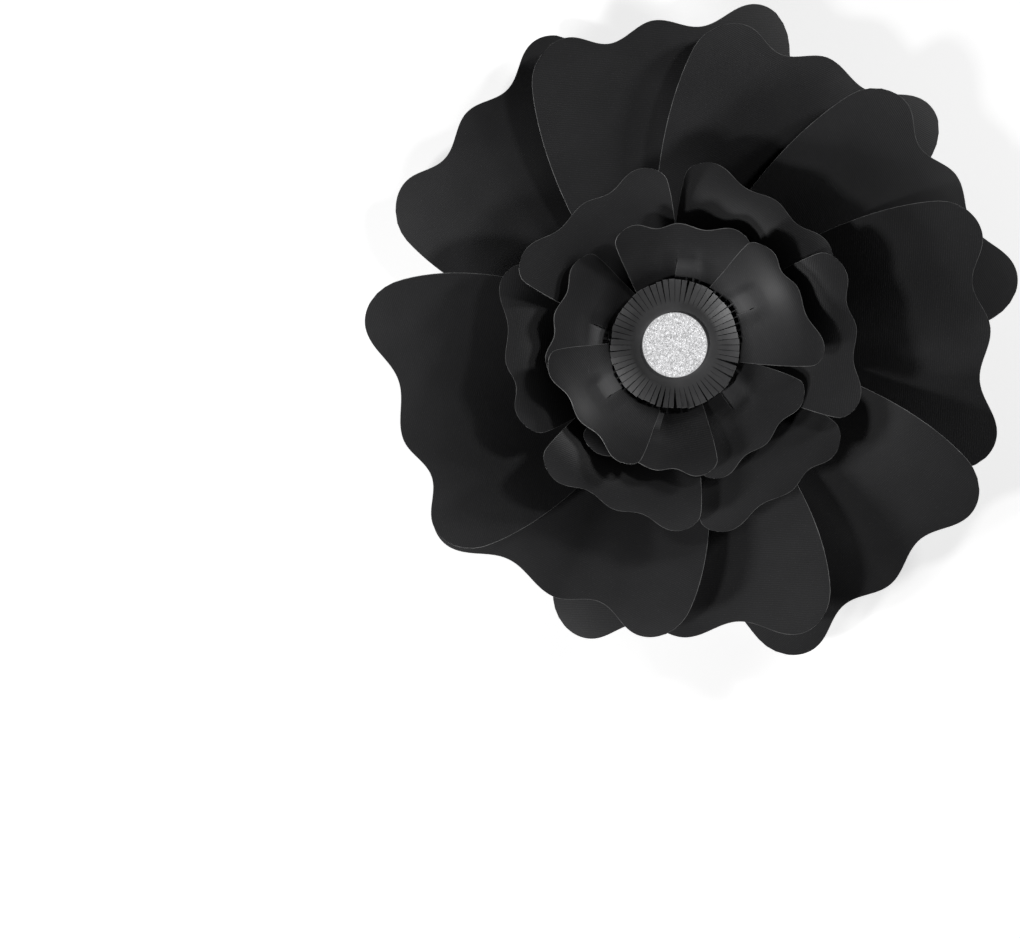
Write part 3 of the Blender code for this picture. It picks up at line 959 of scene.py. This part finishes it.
def fringe_sheet(centre, height):
    """Return the centre's sheet: a flat hub of wedges with a bent strip on each."""
    bm = bmesh.new()
    flat = bm.loops.layers.uv.new("flat_card")
    near = bm.verts.layers.float.new("cut_edge")
    pitch = 2 * math.pi / centre.strips
    hub = bm.verts.new((0.0, 0.0, height))
    corners = []
    for strip in range(centre.strips):
        turn = strip * pitch
        place = (centre.root_radius * math.cos(turn), centre.root_radius * math.sin(turn), height)
        corners.append(bm.verts.new(place))
    luck = random.Random(FRINGE_SEED)
    for strip in range(centre.strips):
        roots = (corners[strip], corners[(strip + 1) % centre.strips])
        bm.faces.new((hub, *roots))
        for vertex in bend_strip(bm, centre, strip, roots, height, luck):
            vertex[near] = 1.0
    for face in bm.faces:
        for loop in face.loops:
            loop[flat].uv = (loop.vert.co.x, loop.vert.co.y)
    bmesh.ops.recalc_face_normals(bm, faces=bm.faces)
    return bm


class PAPERFLOWER_OT_fringed_centre(bpy.types.Operator):
    """Make the centre: a disc whose rim is slit into strips that are bent up"""

    bl_idname = "paperflower.fringed_centre"
    bl_label = "Fringed centre"

    def execute(self, context):
        flower = context.scene.paper_flower
        finish = flower.finish
        card = shared("satin_fringe_card", fringe_card, finish)
        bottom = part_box("fringed_centre")[0].z
        bm = fringe_sheet(flower.centre, bottom + 0.5 * finish.thickness)
        piece = settle("fringed_centre_card", bm, card, finish.thickness)
        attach(piece, ROOT)
        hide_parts("fringed_centre")
        return {"FINISHED"}


def scatter_flakes(bm, centre, top, tone):
    """Scatter small tilted flakes over the glitter disc, each with its own tone."""
    luck = random.Random(FLAKE_SEED)
    for _ in range(centre.flakes):
        heading = luck.uniform(0.0, 2 * math.pi)
        out = (centre.glitter_radius - centre.flake) * math.sqrt(luck.random())
        size = centre.flake * luck.uniform(*FLAKE_SIZES)
        tip_back = Matrix.Rotation(luck.gauss(0.0, FLAKE_TILT), 3, "X")
        tip_aside = Matrix.Rotation(luck.gauss(0.0, FLAKE_TILT), 3, "Y")
        lift = luck.uniform(0.0, FLAKE_LIFT)
        place = Vector((out * math.cos(heading), out * math.sin(heading), top + lift))
        turn = luck.uniform(0.0, math.pi)
        corners = []
        for corner in range(FLAKE_CORNERS):
            at = turn + corner * 2 * math.pi / FLAKE_CORNERS
            arm = Vector((size * math.cos(at), size * math.sin(at), 0.0))
            corners.append(bm.verts.new(place + tip_back @ tip_aside @ arm))
        bm.faces.new(corners)
        bright = luck.random()
        for vertex in corners:
            vertex[tone] = bright


class PAPERFLOWER_OT_glitter_disc(bpy.types.Operator):
    """Make the glitter disc: a board covered in small tilted flakes"""

    bl_idname = "paperflower.glitter_disc"
    bl_label = "Glitter disc"

    def execute(self, context):
        flower = context.scene.paper_flower
        centre = flower.centre
        low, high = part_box("glitter_disc")
        glitter = shared("silver_glitter_flakes", glitter_finish, flower.finish)
        bm = disc_mesh(centre.glitter_radius, low.z, high.z, GLITTER_SIDES, GLITTER_RIM, 2)
        tone = bm.verts.layers.float.new("flake_tone")
        for vertex in bm.verts:
            vertex[tone] = GLITTER_BOARD_TONE
        scatter_flakes(bm, centre, high.z, tone)
        piece = settle("glitter_disc_flakes", bm, glitter)
        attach(piece, ROOT)
        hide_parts("glitter_disc")
        return {"FINISHED"}


# Stage

def add_lamp(name, heading, tilt, energy):
    """Add a square lamp that looks at the flower from a heading, tilted from straight overhead."""
    turn, lean = math.radians(heading), math.radians(tilt)
    lamp = bpy.data.lights.new(name, "AREA")
    lamp.size = LAMP_SIZE
    lamp.energy = energy
    obj = bpy.data.objects.new(name, lamp)
    across = math.sin(lean)
    towards = Vector((across * math.cos(turn), across * math.sin(turn), math.cos(lean)))
    obj.location = towards * LAMP_DISTANCE
    obj.rotation_euler = (-obj.location).to_track_quat("-Z", "Y").to_euler()
    bpy.context.scene.collection.objects.link(obj)


def light_from_all_round(scene, strength):
    """Give the scene a faint even light, behind a white that only the camera and clear things see."""
    world = bpy.data.worlds.new("studio")
    scene.world = world
    world.use_nodes = True
    tree = world.node_tree
    sky = tree.nodes["Background"]
    sky.inputs["Color"].default_value = WHITE
    sky.inputs["Strength"].default_value = strength
    backdrop = tree.nodes.new("ShaderNodeBackground")
    backdrop.inputs["Color"].default_value = WHITE
    backdrop.inputs["Strength"].default_value = 1.0
    paths = tree.nodes.new("ShaderNodeLightPath")
    seen = combine(tree, "MAXIMUM", paths.outputs["Is Camera Ray"], paths.outputs["Is Transmission Ray"])
    choose = tree.nodes.new("ShaderNodeMixShader")
    tree.links.new(seen, choose.inputs["Fac"])
    tree.links.new(sky.outputs["Background"], choose.inputs[1])
    tree.links.new(backdrop.outputs["Background"], choose.inputs[2])
    tree.links.new(choose.outputs["Shader"], tree.nodes["World Output"].inputs["Surface"])


def look_down(scene):
    """Add the camera that looks straight down, with the flower where the picture has it."""
    camera = bpy.data.cameras.new("camera")
    camera.sensor_width = SENSOR_WIDTH
    camera.lens = SENSOR_WIDTH * CAMERA_DISTANCE / (PICTURE_WIDTH * ELEMENT_SIZE)
    camera.clip_end = 100.0
    eye = bpy.data.objects.new("camera", camera)
    eye.location = (
        (PICTURE_WIDTH / 2 - AXIS_COLUMN) * ELEMENT_SIZE,
        (AXIS_ROW - PICTURE_HEIGHT / 2) * ELEMENT_SIZE,
        CAMERA_DISTANCE + PETAL_HEIGHT,
    )
    scene.collection.objects.link(eye)
    return eye


class PAPERFLOWER_OT_stage(bpy.types.Operator):
    """Make the pale floor, the soft lamps and the camera that looks straight down"""

    bl_idname = "paperflower.stage"
    bl_label = "Stage"

    def execute(self, context):
        scene = context.scene
        light = scene.paper_flower.light
        bm = bmesh.new()
        bmesh.ops.create_grid(bm, x_segments=1, y_segments=1, size=FLOOR_HALF_WIDTH)
        floor = settle("floor", bm, white_floor(light))
        light_from_all_round(scene, light.sky)
        for name, heading, tilt, setting in LAMPS:
            add_lamp(name, heading, tilt, getattr(light, setting))
        bpy.context.scene.camera = look_down(scene)
        scene.view_settings.view_transform = "Standard"
        return {"FINISHED"}


OPERATORS = [
    PAPERFLOWER_OT_discs,
    PAPERFLOWER_OT_outer_petals,
    PAPERFLOWER_OT_middle_petals,
    PAPERFLOWER_OT_inner_petals,
    PAPERFLOWER_OT_fringed_centre,
    PAPERFLOWER_OT_glitter_disc,
    PAPERFLOWER_OT_stage,
]


class PAPERFLOWER_PT_panel(bpy.types.Panel):
    """List the flower's settings and the steps that make it."""

    bl_idname = "PAPERFLOWER_PT_panel"
    bl_label = "Giant paper flower"
    bl_space_type = "VIEW_3D"
    bl_region_type = "UI"
    bl_category = "Flower"

    def draw(self, context):
        flower = context.scene.paper_flower
        for group in ("outer", "middle", "inner", "centre", "finish", "light"):
            settings = getattr(flower, group)
            box = self.layout.box()
            box.label(text=flower.bl_rna.properties[group].name)
            for name in settings.__annotations__:
                box.prop(settings, name)
        for operator in OPERATORS:
            self.layout.operator(operator.bl_idname)


CLASSES = [
    OuterLayer, MiddleLayer, InnerLayer, CentreSizes, CardFinish, StudioLight, FlowerSettings,
    *OPERATORS, PAPERFLOWER_PT_panel,
]


def register():
    """Register the classes and the flower's settings."""
    for cls in CLASSES:
        bpy.utils.register_class(cls)
    bpy.types.Scene.paper_flower = bpy.props.PointerProperty(type=FlowerSettings)


def unregister():
    """Take the classes and the settings out again."""
    del bpy.types.Scene.paper_flower
    for cls in reversed(CLASSES):
        bpy.utils.unregister_class(cls)


def main():
    """Make the flower on its stage."""
    register()
    bpy.ops.paperflower.discs()
    bpy.ops.paperflower.outer_petals()
    bpy.ops.paperflower.middle_petals()
    bpy.ops.paperflower.inner_petals()
    bpy.ops.paperflower.fringed_centre()
    bpy.ops.paperflower.glitter_disc()
    bpy.ops.paperflower.stage()


if __name__ == "__main__":
    main()
